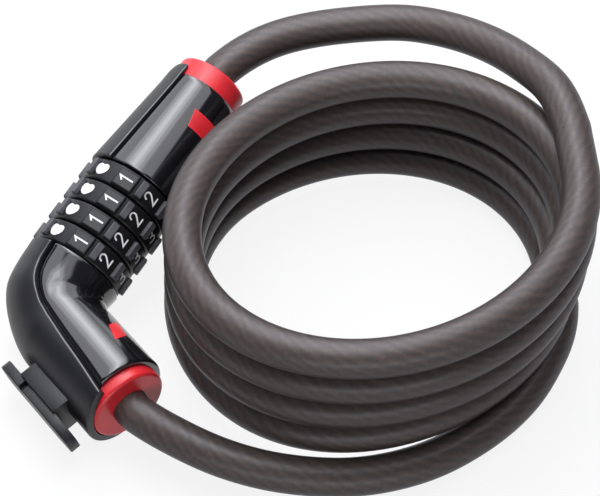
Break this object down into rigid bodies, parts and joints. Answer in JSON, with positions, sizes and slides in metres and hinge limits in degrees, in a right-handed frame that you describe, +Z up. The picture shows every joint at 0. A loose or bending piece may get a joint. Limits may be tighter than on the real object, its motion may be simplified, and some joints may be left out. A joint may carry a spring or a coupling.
{
  "type": "combination cable lock",
  "caption": "Bent combination lock head with turning number dials and a pull-out plug, joined to both ends of a coiled, sleeved steel cable.",
  "frame": {"origin": "the point on the table under the middle of the lock head, measured without the cable", "axes": "+Z up from the table, +Y along the lock head from its cable arm towards its plug, +X from the head towards the coil"},
  "size_m": [0.1863, 0.167, 0.0637],
  "materials": {
    "gloss_black": "polished, near-black moulding",
    "matte_black": "fine spark-eroded texture",
    "dial_black": "satin, white marks on the pads",
    "signal_red": "satin",
    "cable_sleeve": "smoked, satin, with the strands showing through",
    "steel": "brushed",
    "brass": "machined",
    "zinc": "die-cast, satin"
  },
  "bodies": {
    "lock_body": {"body_shell": "gloss_black", "body_cover": "matte_black", "body_inlay": "signal_red", "arm_cap": "signal_red", "arm_ferrule": "zinc", "arm_cross_pin": "steel", "arm_cable_end": "cable_sleeve", "core_barrel": "zinc", "barrel_screw": "steel", "detent_spring": "steel", "retaining_ring": "steel", "cable_coil": "cable_sleeve", "cable_plug_lead": "cable_sleeve", "cable_arm_lead": "cable_sleeve"},
    "dial_ring_1": {"dial_1": "dial_black", "code_wheel_1": "brass"},
    "dial_ring_2": {"dial_2": "dial_black", "code_wheel_2": "brass"},
    "dial_ring_3": {"dial_3": "dial_black", "code_wheel_3": "brass"},
    "dial_ring_4": {"dial_4": "dial_black", "code_wheel_4": "brass"},
    "plug": {"plug_shell": "gloss_black", "plug_cover": "matte_black", "plug_inlay": "signal_red", "plug_cap": "signal_red", "plug_ferrule": "zinc", "plug_cross_pin": "steel", "plug_cable_end": "cable_sleeve", "bolt_pin": "steel"}
  },
  "joints": [
    {"name": "dial_1_turn", "type": "hinge", "parent": "lock_body", "child": "dial_ring_1", "pos_m": [0.0004, 0.01912, 0.02666], "axis": [0.5427, 0.8045, 0.2413], "continuous": true},
    {"name": "dial_2_turn", "type": "hinge", "parent": "lock_body", "child": "dial_ring_2", "pos_m": [-0.0041, 0.01245, 0.02466], "axis": [0.5427, 0.8045, 0.2413], "continuous": true},
    {"name": "dial_3_turn", "type": "hinge", "parent": "lock_body", "child": "dial_ring_3", "pos_m": [-0.00861, 0.00577, 0.02266], "axis": [0.5427, 0.8045, 0.2413], "continuous": true},
    {"name": "dial_4_turn", "type": "hinge", "parent": "lock_body", "child": "dial_ring_4", "pos_m": [-0.01311, -0.00091, 0.02065], "axis": [0.5427, 0.8045, 0.2413], "continuous": true},
    {"name": "plug_pull", "type": "slide", "parent": "lock_body", "child": "plug", "axis": [0.5427, 0.8045, 0.2413], "range_m": [0, 0.042], "deforming": ["cable_plug_lead"]}
  ]
}
